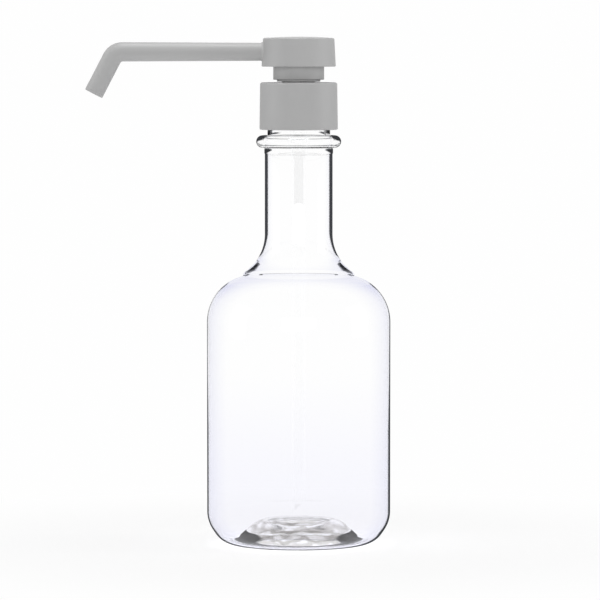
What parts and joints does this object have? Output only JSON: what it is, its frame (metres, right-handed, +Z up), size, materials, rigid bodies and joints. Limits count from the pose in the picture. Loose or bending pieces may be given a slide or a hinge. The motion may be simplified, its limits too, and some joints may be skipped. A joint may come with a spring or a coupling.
{
  "type": "pump bottle",
  "caption": "Clear round plastic bottle with a long flared neck, a smooth screw cap and a grey lotion pump whose long spout turns down at the tip.",
  "frame": {"origin": "on the bottle's axis, in the plane of the ring that it stands on", "axes": "+Z up along the bottle's axis, the spout points along -X, Y across"},
  "size_m": [0.1283, 0.0774, 0.2129],
  "materials": {
    "clear_bottle": "clear, smooth",
    "grey_matte": "matte, smooth",
    "clear_part": "clear, slightly milky",
    "natural_plastic": "natural, satin",
    "gasket": "soft white",
    "steel": "bright",
    "glass_ball": "clear, polished"
  },
  "bodies": {
    "bottle": {"bottle": "clear_bottle"},
    "pump_body": {"pump_housing": "clear_part", "lock_collar": "grey_matte", "neck_gasket": "gasket", "dip_tube": "clear_part"},
    "cap": {"cap": "grey_matte"},
    "spring": {"return_spring": "steel"},
    "plunger": {"head": "grey_matte", "spout_tube": "grey_matte", "stem": "natural_plastic", "valve_pin": "natural_plastic"},
    "piston": {"piston": "natural_plastic"},
    "ball": {"inlet_ball": "glass_ball"}
  },
  "joints": [
    {"name": "pump_lift", "type": "slide", "parent": "bottle", "child": "pump_body", "axis": [0, 0, 1], "range_m": [0, 0.19]},
    {"name": "cap_turn", "type": "hinge", "parent": "pump_body", "child": "cap", "pos_m": [0, 0, 0.184], "axis": [0, 0, 1], "continuous": true},
    {"name": "head_stroke", "type": "slide", "parent": "pump_body", "child": "spring", "axis": [0, 0, 1], "range_m": [0, 0.008], "deforming": ["return_spring"]},
    {"name": "head_turn", "type": "hinge", "parent": "spring", "child": "plunger", "pos_m": [0, 0, 0.206], "axis": [0, 0, 1], "continuous": true},
    {"name": "piston_play", "type": "slide", "parent": "plunger", "child": "piston", "axis": [0, 0, 1], "range_m": [-0.0011, 0]},
    {"name": "ball_lift", "type": "slide", "parent": "pump_body", "child": "ball", "axis": [0, 0, 1], "range_m": [0, 0.0011]}
  ]
}
